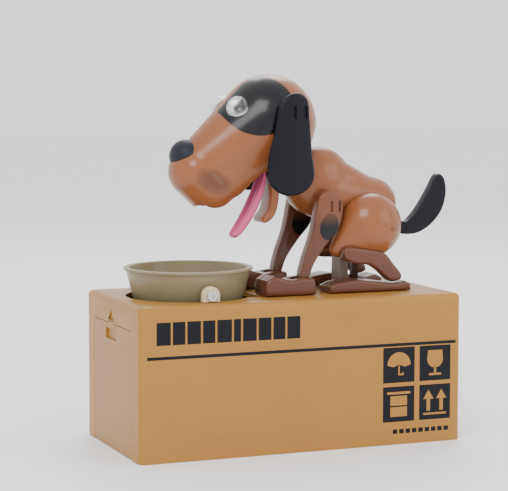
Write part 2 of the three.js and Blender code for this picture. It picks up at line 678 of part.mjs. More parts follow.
const earThick = 3.2;
function makeEar() {
  const shape = outline([[0.6, 99.8], [6.8, 96.6], [8.2, 86], [9.4, 71], [10.6, 58], [4.6, 51],
    [-5.4, 50], [-13.2, 56.4], [-13.4, 67], [-10.2, 81], [-7, 95]], true);
  const flap = acrossY(shape, -earInner - earThick, -earInner, 1.2, 2);
  const slots = [-0.3, 5.5].map((x) => block(x - 0.9, x + 0.9, -earInner - 9, -earInner - earThick + 1,
    earPivot[1] - 6.4, earPivot[1] - 0.2));
  return cutAll(flap, ...slots).add(barY(earPivot, -earInner - 0.5, -earInner + 5.5, earStub, 18));
}
toMesh('ear_left', mirrored(makeEar(), -1), navy(), topGroup);
toMesh('ear_right', mirrored(makeEar(), 1), navy(), topGroup);

const jawWide = mouthHalf - 1.4;
const tongueWide = jawWide - 1.4;
const jawShape = outline([[-4.2, 66], [-3.6, 52], [-4.6, 42.6], [-8, 37.2], [-7.2, 35], [-3.4, 37],
  [-0.6, 42], [0.8, 52], [1.2, 66], [-1.4, 67.6]], true);
const jaw = joinAll(
  acrossY(jawShape, -jawWide, jawWide),
  barY(jawPivot, -11, 11, jawStub, 16),
);
toMesh('jaw', jaw, tan(), topGroup);
const tongueShape = outline([[-5.2, 61], [-6, 52], [-8.4, 43.6], [-12, 35.6], [-16.7, 29.4], [-21.5, 26],
  [-24, 27], [-23.4, 30.6], [-18.2, 37.6], [-13.6, 46.2], [-9.4, 56.6], [-7.4, 61.6]], true);
const groove = acrossY(outline([[-8.6, 55.8], [-12.6, 46], [-17.4, 37], [-20, 37.6],
  [-15.2, 47], [-10, 57]]), -0.6, 0.6);
const tongue = acrossY(tongueShape, -tongueWide, tongueWide).subtract(groove);
toMesh('tongue', tongue, paint(0xc9506a, 0.45), topGroup);

// ---- tail ------------------------------------------------------------------------------
const tailHalf = 3;
const tailClear = 0.5; // lets the root swing beside the torso
function makeTail() {
  const shape = outline([[61, 37.6], [68, 34.6], [73.6, 33.4], [77.6, 36.6], [81.8, 41.8], [87, 50],
    [90.6, 56.4], [93.2, 57.6], [95.8, 54.6], [96.6, 47.2], [94, 38.6], [88.2, 31.8], [81, 27.6],
    [73, 26.8], [66, 28.6], [61, 32]], true);
  return acrossY(shape, -tailHalf, tailHalf, 1.4, 2).subtract(torsoSkin(-tailClear));
}
toMesh('tail', makeTail(), navy(), topGroup);

// ---- legs and feet -----------------------------------------------------------------------
const legOuter = legInner + legThick;
const legPlay = 0.8; // each side of the leg in its paw
function makeFrontLeg() {
  const shape = outline([[21.4, 51.2], [27.4, 49], [29.4, 42.4], [27, 32.6], [20.4, 24.6], [13.8, 15.4],
    [10.6, 7.4], [8.6, 6.2], [6.2, 8.4], [8.4, 18], [12.6, 30], [15, 42], [16.6, 48.6]], true);
  const leg = acrossY(shape, -legOuter, -legInner, 1.4, 2);
  const slots = [22.3, 26.6].map((x) => block(x, x + 1.3, -legOuter - 1, -legOuter + 0.9,
    shoulder[1] - 3.4, shoulder[1] + 2.2));
  const bore = barY(shoulder, -legOuter + 1.4, 0, pinRadius + play, 16);
  return cutAll(leg, bore, ...slots);
}

function makePaw() {
  const profile = [[-13.8, gap], [-14.6, 4], [-13.4, 8], [-9.5, 10.2], [-4.6, 8.8], [-0.4, 7.8],
    [7.1, 8.8], [12, 8.2], [12.8, 4], [12.6, gap]];
  const paw = acrossY(outline(profile), -pawY - pawWidth / 2, -pawY + pawWidth / 2, 1.6, 2);
  const inside = profile.map(([x, z]) => [x * 0.84, z < 1 ? -3 : z - shellWall]);
  const hollow = acrossY(outline(inside), -pawY - pawWidth / 2 + 2, -pawY + pawWidth / 2 - 2);
  const socket = block(1.4, 12, -legOuter - legPlay, -legInner + legPlay, 1, 14);
  const toes = [-1, 1].map((way) => block(-16, -9.4, -pawY + way * 3 - 0.5, -pawY + way * 3 + 0.5,
    4.4, 14).subtract(block(-13.2, -9, -40, 0, 0, 8.6)));
  return cutAll(paw, hollow, socket, ...toes);
}

const haunch = [47.2, 33.2];
const haunchRadius = 16.2;
const knee = [28.8, 21.8];
const kneeRadius = 4.2;
const thighWall = 2;
const thighFlat = (thighOuter - legInner) / haunchRadius;
function thighBody(more) {
  return roundedCone(haunch, haunchRadius + more, knee, kneeRadius + more, thighFlat, 20, 5)
    .translate([0, -legInner, 0])
    .subtract(block(0, 100, -legInner + Math.max(more, 0), 60, -50, 100));
}
function makeThigh() {
  const hollow = roundedCone(haunch, haunchRadius - thighWall, knee, kneeRadius - 1.6, thighFlat, 14, 4)
    .translate([0, -legInner, 0]);
  const slots = [38.7, 31.9].map((z) => block(52.3, 57.2, -thighOuter - 1, -thighOuter + 2.4,
    z - 0.8, z + 0.8));
  return cutAll(thighBody(0), hollow, ...slots);
}
function makeShin() {
  const shape = outline([[30.4, 16.4], [32, 22], [50, 21], [60.4, 8.4], [53.8, 5.6], [47, 11.6], [42, 13.8],
    [34.6, 14.6]]);
  return acrossY(shape, -24.2, -17.4, 1.2, 2).subtract(thighBody(0.4)).subtract(footBody(0.4));
}
function footBody(more) {
  const profile = [[21.4, gap], [20.9, 3.4], [24.9, 5.2], [35.4, 6.7], [47, 5.4], [56.2, 4], [62.5, 5.3],
    [65.8, 3.6], [66, gap]];
  const low = Math.min(gap, gap - more);
  const shape = outline(profile.map(([x, z]) => [x, z <= gap ? low : z + more]));
  return acrossY(shape, -footY - footWidth / 2 - more, -footY + footWidth / 2 + more, 1.4, 2);
}
function makeFoot() {
  const toes = [-1, 1].map((way) => block(20, 25.2, -footY + way * 2.7 - 0.5, -footY + way * 2.7 + 0.5,
    2.6, 9));
  return cutAll(footBody(0), ...toes);
}

['left', 'right'].forEach((name, i) => {
  const side = i === 0 ? -1 : 1;
  toMesh(`front_leg_${name}`, mirrored(makeFrontLeg(), side), dusk(), topGroup);
  toMesh(`front_paw_${name}`, mirrored(makePaw(), side), dusk(), topGroup);
  toMesh(`thigh_${name}`, mirrored(makeThigh(), side), tan(), topGroup);
  toMesh(`shin_${name}`, mirrored(makeShin(), side), dusk(), topGroup);
  toMesh(`hind_foot_${name}`, mirrored(makeFoot(), side), dusk(), topGroup);
});

// Origin under the middle of the whole object.
const reach = new THREE.Box3().setFromObject(bank);
bank.position.x = -(reach.min.x + reach.max.x) / 2;

export default bank;
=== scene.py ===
import json
import math
import bmesh
import bpy
from mathutils import Matrix, Vector


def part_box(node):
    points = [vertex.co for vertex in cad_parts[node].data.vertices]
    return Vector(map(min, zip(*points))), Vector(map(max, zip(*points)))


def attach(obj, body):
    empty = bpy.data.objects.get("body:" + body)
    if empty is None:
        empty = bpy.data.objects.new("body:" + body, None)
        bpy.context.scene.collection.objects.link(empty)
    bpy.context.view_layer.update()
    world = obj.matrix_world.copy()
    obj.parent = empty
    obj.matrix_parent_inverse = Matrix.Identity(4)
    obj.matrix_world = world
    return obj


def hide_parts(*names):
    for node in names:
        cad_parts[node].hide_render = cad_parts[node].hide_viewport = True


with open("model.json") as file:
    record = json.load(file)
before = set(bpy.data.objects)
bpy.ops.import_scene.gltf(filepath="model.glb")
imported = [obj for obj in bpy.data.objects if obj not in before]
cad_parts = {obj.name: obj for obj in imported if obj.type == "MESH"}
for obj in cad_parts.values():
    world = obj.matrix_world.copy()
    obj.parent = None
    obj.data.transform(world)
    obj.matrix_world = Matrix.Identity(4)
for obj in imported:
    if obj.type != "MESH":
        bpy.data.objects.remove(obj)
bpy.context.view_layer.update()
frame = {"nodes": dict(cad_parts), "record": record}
nodes = frame["nodes"]
mm = 0.001
boxLow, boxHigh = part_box("box_shell")
midX = (boxLow.x + boxHigh.x) / 2 # middle of the box
topZ = boxHigh.z
print("frame loaded,", len(nodes), "nodes")


def at(x, z, y=0.0):
    # a point in millimetres from the middle of the box's top
    return Vector((midX + x * mm, y * mm, topZ + z * mm))


# ---------- materials ----------
class Wire:
    # a socket that adds Math nodes when it is used in a sum
    def __init__(self, tree, socket):
        self.tree = tree
        self.socket = socket

    def sum(self, operation, first, second=0.0):
        return self.tree.add("ShaderNodeMath", {"operation": operation}, [first, second])

    def __add__(self, other):
        return self.sum("ADD", self, other)

    def __sub__(self, other):
        return self.sum("SUBTRACT", self, other)

    def __rsub__(self, other):
        return self.sum("SUBTRACT", other, self)

    def __mul__(self, other):
        return self.sum("MULTIPLY", self, other)

    def __truediv__(self, other):
        return self.sum("DIVIDE", self, other)

    __radd__ = __add__
    __rmul__ = __mul__

    def below(self, edge, soft):
        # 1 under the edge, 0 above it, with a soft step between
        return self.tree.add("ShaderNodeMapRange", {"interpolation_type": "SMOOTHSTEP", "clamp": True},
                             {"Value": self, "From Min": edge - soft, "From Max": edge + soft,
                              "To Min": 1.0, "To Max": 0.0})


class Tree:
    def __init__(self, name):
        self.material = bpy.data.materials.new(name)
        self.material.use_nodes = True
        self.nodes = self.material.node_tree.nodes
        self.links = self.material.node_tree.links
        self.shader = self.nodes["Principled BSDF"]
        self.place = self.add("ShaderNodeTexCoord", output="Object")

    def feed(self, socket, value):
        if isinstance(value, Wire):
            self.links.new(value.socket, socket)
        else:
            socket.default_value = value

    def add(self, kind, settings=None, values=None, output=0):
        node = self.nodes.new(kind)
        stops = None
        for name, value in (settings or {}).items():
            if name == "stops":
                stops = value
            else:
                setattr(node, name, value)
        if stops:
            ramp = node.color_ramp
            for index, (spot, colour) in enumerate(stops):
                stop = ramp.elements[index] if index < 2 else ramp.elements.new(spot)
                stop.position = spot
                stop.color = colour
        pairs = values.items() if isinstance(values, dict) else enumerate(values or [])
        for key, value in pairs:
            self.feed(node.inputs[key], value)
        return Wire(self, node.outputs[output])

    def axis(self):
        split = self.add("ShaderNodeSeparateXYZ", values={"Vector": self.place}).socket.node
        return [Wire(self, split.outputs[name]) for name in "XYZ"]

    def noise(self, scale, detail=3.0, rough=0.55, stretch=None):
        vector = self.place
        if stretch:
            vector = self.add("ShaderNodeMapping", values={"Vector": self.place, "Scale": stretch})
        return self.add("ShaderNodeTexNoise", None,
                        {"Vector": vector, "Scale": scale, "Detail": detail, "Roughness": rough})

    def mix(self, factor, first, second):
        node = self.nodes.new("ShaderNodeMix")
        node.data_type = "RGBA"
        self.feed(node.inputs[0], factor)
        self.feed(node.inputs[6], first)
        self.feed(node.inputs[7], second)
        return Wire(self, node.outputs[2])

    def set(self, **values):
        for name, value in values.items():
            self.feed(self.shader.inputs[name.replace("_", " ")], value)


def rgb(red, green, blue):
    return (red, green, blue, 1.0)


def shade(colour, amount):
    return rgb(*(min(1.0, part * amount) for part in colour[:3]))


finishes = {
    "kraft": {"colour": rgb(0.330, 0.155, 0.030), "rough": 0.40, "grain": 900, "bump": 0.05, "coat": 0.08},
    "tan": {"colour": rgb(0.235, 0.078, 0.027), "rough": 0.30, "grain": 700, "bump": 0.03, "coat": 0.28},
    "dusk": {"colour": rgb(0.105, 0.036, 0.019), "rough": 0.32, "grain": 700, "bump": 0.04, "coat": 0.25},
    "navy": {"colour": rgb(0.0008, 0.0011, 0.0050), "rough": 0.40, "grain": 1200, "bump": 0.06, "coat": 0.0},
    "slate": {"colour": rgb(0.012, 0.013, 0.021), "rough": 0.50, "grain": 1500, "bump": 0.14, "coat": 0.0},
    "olive": {"colour": rgb(0.215, 0.178, 0.098), "rough": 0.36, "grain": 900, "bump": 0.05, "coat": 0.12},
    "cream": {"colour": rgb(0.560, 0.480, 0.290), "rough": 0.40, "grain": 900, "bump": 0.05, "coat": 0.1},
    "taupe": {"colour": rgb(0.200, 0.155, 0.118), "rough": 0.50, "grain": 900, "bump": 0.10, "coat": 0.0},
    "umber": {"colour": rgb(0.050, 0.022, 0.013), "rough": 0.45, "grain": 900, "bump": 0.08, "coat": 0.0},
    "nylon": {"colour": rgb(0.700, 0.680, 0.610), "rough": 0.45, "grain": 1200, "bump": 0.05, "coat": 0.0},
    "pink": {"colour": rgb(0.600, 0.090, 0.215), "rough": 0.34, "grain": 800, "bump": 0.06, "coat": 0.2},
    "ink": {"colour": rgb(0.0016, 0.0018, 0.0050), "rough": 0.50, "grain": 2200, "bump": 0.05, "coat": 0.0},
    "board": {"colour": rgb(0.020, 0.130, 0.050), "rough": 0.40, "grain": 600, "bump": 0.15, "coat": 0.2},
    "label": {"colour": rgb(0.030, 0.090, 0.220), "rough": 0.30, "grain": 700, "bump": 0.03, "coat": 0.3},
}
made = {}


def moulded(name):
    # injection-moulded plastic: slow tone drift, fine grain, duller rubbed areas
    if name in made:
        return made[name]
    look = finishes[name]
    tree = Tree(name)
    drift = tree.noise(26.0, 2.0)
    grain = tree.noise(look["grain"], 2.0)
    scuff = tree.noise(75.0, 6.0, 0.7, (1.0, 1.0, 2.5))
    rubbed = scuff.below(0.40, 0.06)
    base = tree.mix(drift, shade(look["colour"], 0.93), shade(look["colour"], 1.07))
    tree.base = tree.mix(rubbed * 0.18, base, shade(look["colour"], 1.22))
    tree.rough = grain * 0.08 + rubbed * 0.10 + (look["rough"] - 0.05)
    bump = tree.add("ShaderNodeBump", None, {"Strength": look["bump"], "Distance": 0.0004,
                                              "Height": grain * 0.7 + drift * 0.3})
    tree.set(Base_Color=tree.base, Roughness=tree.rough, Normal=bump, Coat_Weight=look["coat"],
             Coat_Roughness=0.12, Specular_IOR_Level=0.22)
    made[name] = tree
    return tree


def finish(piece, look):
    material = look if isinstance(look, bpy.types.Material) else moulded(look).material
    piece.data.materials.clear()
    piece.data.materials.append(material)


def makeMetal(name, colour, rough, stretch):
    tree = Tree(name)
    brushed = tree.noise(420.0, 3.0, 0.6, stretch)
    tarnish = tree.noise(60.0, 4.0)
    tree.set(Base_Color=tree.mix(tarnish, shade(colour, 0.82), shade(colour, 1.08)), Metallic=1.0,
             Roughness=brushed * 0.18 + tarnish * 0.12 + rough,
             Normal=tree.add("ShaderNodeBump", None,
                             {"Strength": 0.12, "Distance": 0.0003, "Height": brushed}))
    return tree.material


steel = makeMetal("steel", rgb(0.62, 0.62, 0.63), 0.22, (1.0, 1.0, 6.0))
print("materials ready")


# ---------- mesh helpers ----------
def toPiece(name, mesh, look, body, replaced=(), angle=40.0):
    # a finished bmesh becomes a piece that rides on a body
    data = bpy.data.meshes.new(name)
    mesh.to_mesh(data)
    mesh.free()
    data.shade_smooth()
    data.set_sharp_from_angle(angle=math.radians(angle))
    piece = bpy.data.objects.new(name, data)
    bpy.context.scene.collection.objects.link(piece)
    finish(piece, look)
    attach(piece, body)
    if replaced:
        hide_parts(*replaced)
    return piece


def roundEdges(mesh, edges, width, segments=3):
    bmesh.ops.bevel(mesh, geom=list(edges), offset=width * mm, offset_type="OFFSET", segments=segments,
                    profile=0.5, affect="EDGES", material=-1, clamp_overlap=True)


def refined(node, look, width=0.25):
    # a CAD node's own shape with its edges softened
    mesh = bmesh.new()
    mesh.from_mesh(nodes[node].data)
    bmesh.ops.remove_doubles(mesh, verts=mesh.verts, dist=0.00001)
    bmesh.ops.dissolve_limit(mesh, angle_limit=math.radians(1.0), verts=mesh.verts, edges=mesh.edges)
    first, *others = node.split("_")
    name = first + "".join(part.title() for part in others) + "Fine"
    piece = toPiece(name, mesh, look, bodyOf[node], (node,), 32.0)
    if width:
        soften = piece.modifiers.new("soften", "BEVEL")
        soften.width = width * mm
        soften.segments = 2
        soften.limit_method = "ANGLE"
        soften.angle_limit = math.radians(35.0)
        soften.harden_normals = True
    return piece


bodyOf = {node: body for body, names in frame["record"]["behaviour"]["bodies"].items() for node in names}


def smoothLoop(points, steps):
    # a closed Catmull-Rom loop through the points, as (x, z) pairs
    loop = []
    count = len(points)
    for index in range(count):
        a, b, c, d = (Vector(points[(index + k) % count]) for k in (-1, 0, 1, 2))
        for step in range(steps):
            t = step / steps
            loop.append(0.5 * (2 * b + (c - a) * t + (2 * a - 5 * b + 4 * c - d) * t * t
                               + (3 * b - a - 3 * c + d) * t ** 3))
    return loop


def slab(points, yLow, yHigh, rounding, smooth=0, segments=4):
    # a side outline in millimetres, run across the object with rounded rims
    loop = smoothLoop(points, smooth) if smooth else [Vector(p) for p in points]
    mesh = bmesh.new()
    corners = [mesh.verts.new(at(p[0], p[1], yLow)) for p in loop]
    face = mesh.faces.new(corners)
    grown = bmesh.ops.extrude_face_region(mesh, geom=[face])
    moved = [part for part in grown["geom"] if isinstance(part, bmesh.types.BMVert)]
    bmesh.ops.translate(mesh, verts=moved, vec=(0, (yHigh - yLow) * mm, 0))
    bmesh.ops.recalc_face_normals(mesh, faces=mesh.faces)
    if rounding:
        rims = [edge for edge in mesh.edges if abs(edge.verts[0].co.y - edge.verts[1].co.y) < 1e-7]
        roundEdges(mesh, rims, rounding, segments)
    return mesh


def cuboid(x0, x1, y0, y1, z0, z1, rounding=0.0, segments=3):
    mesh = bmesh.new()
    bmesh.ops.create_cube(mesh, size=1.0)
    bmesh.ops.scale(mesh, verts=mesh.verts, vec=((x1 - x0) * mm, (y1 - y0) * mm, (z1 - z0) * mm))
    middle = at((x0 + x1) / 2, (z0 + z1) / 2, (y0 + y1) / 2)
    bmesh.ops.translate(mesh, verts=mesh.verts, vec=middle)
    if rounding:
        roundEdges(mesh, mesh.edges, rounding, segments)
    return mesh


def turned(profile, centre, axis="Z", flat=1.0, sides=64, close=True):
    # (radius, height) pairs spun into a closed solid, then laid along an axis
    mesh = bmesh.new()
    dots = [mesh.verts.new((radius * mm, 0, height * mm)) for radius, height in profile]
    lines = [mesh.edges.new(pair) for pair in zip(dots, dots[1:])]
    if close:
        lines.append(mesh.edges.new((dots[-1], dots[0])))
    bmesh.ops.spin(mesh, geom=dots + lines, cent=(0, 0, 0), axis=(0, 0, 1), dvec=(0, 0, 0),
                   angle=math.tau, steps=sides, use_merge=True, use_duplicate=False)
    bmesh.ops.remove_doubles(mesh, verts=mesh.verts, dist=1e-7)
    bmesh.ops.scale(mesh, verts=mesh.verts, vec=(1, flat, 1))
    if isinstance(axis, Vector):
        spin = axis.to_track_quat("Z", "Y").to_matrix()
    else:
        spin = {"Z": Matrix.Identity(3), "Y": Matrix.Rotation(math.pi / 2, 3, "X"),
                "X": Matrix.Rotation(math.pi / 2, 3, "Y")}[axis]
    bmesh.ops.rotate(mesh, verts=mesh.verts, cent=(0, 0, 0), matrix=spin)
    bmesh.ops.translate(mesh, verts=mesh.verts, vec=centre)
    bmesh.ops.recalc_face_normals(mesh, faces=mesh.faces)
    return mesh


def capsule(a, ra, b, rb, flat=1.0, sides=72, steps=18):
    # two balls of different size with the tangent cone between them
    run = Vector((b[0] - a[0], 0, b[1] - a[1]))
    lean = math.asin((ra - rb) / run.length)
    profile = []
    for i in range(steps + 1):
        angle = -math.pi / 2 + (i / steps) * (math.pi / 2 + lean)
        profile.append((ra * math.cos(angle), ra * math.sin(angle)))
    for i in range(steps + 1):
        angle = lean + (i / steps) * (math.pi / 2 - lean)
        profile.append((rb * math.cos(angle), run.length + rb * math.sin(angle)))
    profile[0] = (0.0, -ra)
    profile[-1] = (0.0, run.length + rb)
    mesh = turned(profile, Vector((0, 0, 0)), "Z", flat, sides, False)
    tilt = Matrix.Rotation(math.atan2(run.x, run.z), 3, "Y")
    bmesh.ops.rotate(mesh, verts=mesh.verts, cent=(0, 0, 0), matrix=tilt)
    bmesh.ops.translate(mesh, verts=mesh.verts, vec=at(*a))
    return mesh


def blob(centre, radii, y=0.0, sides=48, rings=32):
    mesh = bmesh.new()
    bmesh.ops.create_uvsphere(mesh, u_segments=sides, v_segments=rings, radius=1.0)
    bmesh.ops.scale(mesh, verts=mesh.verts, vec=[radius * mm for radius in radii])
    bmesh.ops.translate(mesh, verts=mesh.verts, vec=at(centre[0], centre[1], y))
    return mesh


def barY(centre, y0, y1, radius, sides=32):
    mesh = bmesh.new()
    bmesh.ops.create_cone(mesh, cap_ends=True, segments=sides, radius1=radius * mm, radius2=radius * mm,
                          depth=(y1 - y0) * mm)
    bmesh.ops.rotate(mesh, verts=mesh.verts, cent=(0, 0, 0), matrix=Matrix.Rotation(math.pi / 2, 3, "X"))
    bmesh.ops.translate(mesh, verts=mesh.verts, vec=at(centre[0], centre[1], (y0 + y1) / 2))
    return mesh


def helper(mesh):
    data = bpy.data.meshes.new("helper")
    mesh.to_mesh(data)
    mesh.free()
    thing = bpy.data.objects.new("helper", data)
    bpy.context.scene.collection.objects.link(thing)
    return thing


def joined(mesh, *steps):
    # boolean steps as (operation, mesh) pairs, worked out and returned as one bmesh
    base = helper(mesh)
    tools = []
    for operation, other in steps:
        tool = helper(other)
        tools.append(tool)
        step = base.modifiers.new(operation, "BOOLEAN")
        step.operation = operation
        step.solver = "MANIFOLD"
        step.object = tool
    worked = base.evaluated_get(bpy.context.evaluated_depsgraph_get())
    result = bmesh.new()
    result.from_mesh(worked.to_mesh())
    for thing in [base, *tools]:
        data = thing.data
        bpy.data.objects.remove(thing)
        bpy.data.meshes.remove(data)
    bmesh.ops.remove_doubles(result, verts=result.verts, dist=1e-7)
    return result


def cut(mesh, *others):
    return joined(mesh, *[("DIFFERENCE", other) for other in others])


def melted(mesh, grain, rounds):
    # an even skin over a solid, with the creases between its parts softened
    base = helper(mesh)
    even = base.modifiers.new("even", "REMESH")
    even.mode = "VOXEL"
    even.voxel_size = grain * mm
    soften = base.modifiers.new("soften", "SMOOTH")
    soften.factor = 0.5
    soften.iterations = rounds
    worked = base.evaluated_get(bpy.context.evaluated_depsgraph_get())
    result = bmesh.new()
    result.from_mesh(worked.to_mesh())
    data = base.data
    bpy.data.objects.remove(base)
    bpy.data.meshes.remove(data)
    return result


def mirroredY(mesh):
    bmesh.ops.scale(mesh, verts=mesh.verts, vec=(1, -1, 1))
    bmesh.ops.reverse_faces(mesh, faces=mesh.faces)
    return mesh


def sided(build, side):
    # pieces are built on the dog's left, where Y is negative, and turned over for its right
    return build() if side == "left" else mirroredY(build())


# ---------- patterns on the head and legs ----------
def painted(name, look, marks):
    # dark marks on a moulding, some real paint and some painted shade, each an ellipse: its middle x and z,
    # half length and height, tilt, the one side it is on or 0 for both, softness, strength and colour
    base = finishes[look]
    tree = Tree(name)
    drift = tree.noise(26.0, 2.0)
    grain = tree.noise(base["grain"], 2.0)
    colour = tree.mix(drift, shade(base["colour"], 0.93), shade(base["colour"], 1.07))
    x, y, z = tree.axis()
    wobble = (tree.noise(90.0, 2.0) - 0.5) * 0.10
    for cx, cz, a, b, tilt, side, soft, strength, ink in marks:
        spot = at(cx, cz)
        turn = math.radians(tilt)
        u = (x - spot.x) * math.cos(turn) + (z - spot.z) * math.sin(turn)
        v = (z - spot.z) * math.cos(turn) - (x - spot.x) * math.sin(turn)
        u = u / (a * mm)
        v = v / (b * mm)
        reach = u * u + v * v + wobble
        mask = reach.below(1.0, soft) * strength
        if side:
            mask = mask * (y * side).below(-2.0 * mm, 0.4 * mm)
        colour = tree.mix(mask, colour, ink)
    tree.set(Base_Color=colour, Roughness=grain * 0.08 + (base["rough"] - 0.04), Coat_Weight=base["coat"],
             Coat_Roughness=0.12, Specular_IOR_Level=0.22,
             Normal=tree.add("ShaderNodeBump", None, {"Strength": base["bump"], "Distance": 0.0004,
                                                       "Height": grain}))
    return tree.material


blackPaint = rgb(0.0012, 0.0013, 0.0036)
# colour of the painted shade under the muzzle
paintedShadeBrown = rgb(0.050, 0.016, 0.009)
# the head's colour: the real black patch round the eye, and painted shade under the muzzle
headPaintAndShade = painted("headPaintAndShade", "tan", [
    (-14.6, 94.0, 17.2, 15.0, 10, 1.0, 0.04, 1.0, blackPaint),
    # painted shade: a soft dark patch on the underside of the muzzle, where shade falls
    (-37.0, 56.5, 8.5, 5.0, -24, 0, 0.85, 0.62, paintedShadeBrown),
])
legPaint = painted("legPaint", "dusk", [
    (21.6, 33.4, 4.9, 6.7, -14, 0, 0.05, 1.0, blackPaint),
    (21.5, 45.0, 9.0, 9.0, 0, 0, 0.9, 0.35, rgb(0.235, 0.078, 0.027)),
])

# ---------- head ----------
head = {"skull": (-3, 84.7), "skullRadius": 24.4, "muzzle": (-42.5, 61), "muzzleRadius": 12.7, "flat": 0.947,
        "wall": 1.8, "seam": 0.12, "mouthHalf": 8.4, "napeHalf": 12, "jowl": (-34.2, 53.8),
        "jowlRadius": 13.1, "jowlFlat": 1.1, "sideLess": 1, "grain": 0.85, "rounds": 14,
        "mouth": [(-43.4, 30), (-42.2, 45), (-30, 53.4), (-12, 64), (-6, 68), (6, 68), (30, 74), (34, 30)],
        "cheek": [(-29, 30), (-27.4, 43.4), (-21.7, 49), (-16.3, 55.8), (-11, 60.8), (-6, 61.6),
                  (12, 61.6), (30, 40), (30, 30)],
        "cheekHalf": 40, "earPivot": (-1.5, 93.7), "earHole": 2.35, "holeFrom": 14, "holeTo": 30,
        "nape": [(4, 50), (4, 66), (12, 82), (30, 82), (40, 50)]}


def headSkin(less=0.0):
    r, small, low = head["skullRadius"] - less, head["muzzleRadius"] - less, head["jowlRadius"] - less
    top = capsule(head["skull"], r, head["muzzle"], small, head["flat"])
    side = capsule(head["skull"], r - head["sideLess"], head["jowl"], low, head["flat"])
    front = capsule(head["jowl"], low, head["muzzle"], small, head["jowlFlat"])
    return joined(top, ("UNION", side), ("UNION", front))


def headShell():
    mouth = slab(head["mouth"], -head["mouthHalf"], head["mouthHalf"], 0)
    cheek = slab(head["cheek"], -head["cheekHalf"], head["cheekHalf"], 0)
    nape = slab(head["nape"], -head["napeHalf"], head["napeHalf"], 0)
    outer = melted(headSkin(), head["grain"], head["rounds"])
    return cut(outer, headSkin(head["wall"]), mouth, cheek, nape)


def half(mesh, side):
    # keeps the half on one side of the middle, less the seam
    y = head["seam"]
    span = (-100, -y) if side == "left" else (y, 100)
    return joined(mesh, ("INTERSECT", cuboid(-200, 200, *span, -150, 200)))


for side in ("left", "right"):
    shell = half(headShell(), side)
    sign = -1 if side == "left" else 1
    ends = sorted((sign * head["holeFrom"], sign * head["holeTo"]))
    hole = barY(head["earPivot"], *ends, head["earHole"])
    skin = toPiece("headShell" + side.title(), cut(shell, hole), headPaintAndShade, "head", ("head_" + side,), 35)
print("head shells")

nose = {"centre": (-46.6, 68.6), "radii": (8.2, 9.2, 8.3), "clear": 0.15}
cap = cut(blob(nose["centre"], nose["radii"]), headSkin(-nose["clear"]))
toPiece("noseCap", cap, "slate", "head", ("nose",), 35)

# ---------- eyes ----------
eye = {"centre": (-23.5, 92.4), "y": -11.4, "radius": 6.0, "wall": 0.5,
       "facing": Vector((-0.50, -0.62, 0.60)),
       "plate": 5.0, "plateDepth": 0.1, "bead": 2.5, "beadSpot": (0.7, -1.0, 0.8), "beadDepth": 0.2}


def eyeBase():
    return at(eye["centre"][0], eye["centre"][1], eye["y"])


def faced(mesh, depth):
    # turns a shape made about +Z so that it faces the way the eye looks
    way = eye["facing"].normalized()
    bmesh.ops.rotate(mesh, verts=mesh.verts, cent=(0, 0, 0), matrix=way.to_track_quat("Z", "Y").to_matrix())
    bmesh.ops.translate(mesh, verts=mesh.verts, vec=eyeBase() + way * depth * mm)
    return mesh


def eyeDome():
    outer = []
    inner = []
    for i in range(19):
        angle = math.radians(i * 5)
        outer.append((eye["radius"] * math.cos(angle), eye["radius"] * math.sin(angle)))
        small = eye["radius"] - eye["wall"]
        inner.append((small * math.cos(angle), small * math.sin(angle)))
    outer[-1] = (0.0, eye["radius"])
    inner[-1] = (0.0, eye["radius"] - eye["wall"])
    return faced(turned(outer + inner[::-1], Vector((0, 0, 0)), sides=48), 0)


def eyePlate():
    r = eye["plate"]
    rim = [(0, 0), (r, 0), (r + 0.3, 0.3), (r, 0.9), (r - 0.5, 0.7), (r - 0.9, 0.45), (0, 0.45)]
    return faced(turned(rim, Vector((0, 0, 0)), sides=48), eye["plateDepth"])


def eyeBead():
    r = eye["bead"]
    disc = [(0, 0), (r - 0.3, 0), (r, 0.35), (r, 0.8), (r - 0.4, 1.1), (0, 1.2)]
    mesh = turned(disc, Vector((0, 0, 0)), sides=36)
    bmesh.ops.translate(mesh, verts=mesh.verts, vec=[part * mm for part in eye["beadSpot"]])
    return faced(mesh, eye["beadDepth"])


clear = Tree("clearDome")
clear.set(Base_Color=rgb(0.95, 0.97, 0.98), Roughness=0.03, Transmission_Weight=1.0, IOR=1.46,
          Alpha=clear.noise(300.0, 2.0) * 0.02 + 0.34)
silver = Tree("silverDisc")
swirl = silver.noise(500.0, 3.0)
silver.set(Base_Color=silver.mix(swirl, rgb(0.66, 0.67, 0.66), rgb(0.82, 0.82, 0.80)), Metallic=0.55,
           Roughness=swirl * 0.1 + 0.24)
beadBlack = Tree("beadBlack")
beadTone = beadBlack.mix(beadBlack.noise(300.0), rgb(0.008, 0.008, 0.009), rgb(0.014, 0.014, 0.016))
beadBlack.set(Base_Color=beadTone, Roughness=beadBlack.noise(200.0) * 0.1 + 0.12, Coat_Weight=0.6)
for side in ("left", "right"):
    name = side.title()
    toPiece("eyeDome" + name, sided(eyeDome, side), clear.material, "head", ("eye_" + side,), 60)
    toPiece("eyePlate" + name, sided(eyePlate, side), silver.material, "head", (), 40)
    toPiece("eyeBead" + name, sided(eyeBead, side), beadBlack.material, "head", ("eye_bead_" + side,), 40)
print("eyes and nose")

# ---------- ears ----------
ear = {"inner": 24.21, "thick": 3.6, "round": 1.7, "slotDeep": 1.2, "slotRound": 0.3,
       "outline": [(0.6, 99.8), (6.8, 96.6), (8.2, 86), (9.4, 71), (10.6, 58), (4.6, 51), (-5.4, 50),
                   (-13.2, 56.4), (-13.4, 67), (-10.2, 81), (-7, 95)],
       "slotX": (-0.3, 5.5), "slotHalf": 0.8, "slotLow": -6.4, "slotHigh": -0.2, "stub": 2.0,
       "stubOut": 0.6, "stubIn": 5.5}


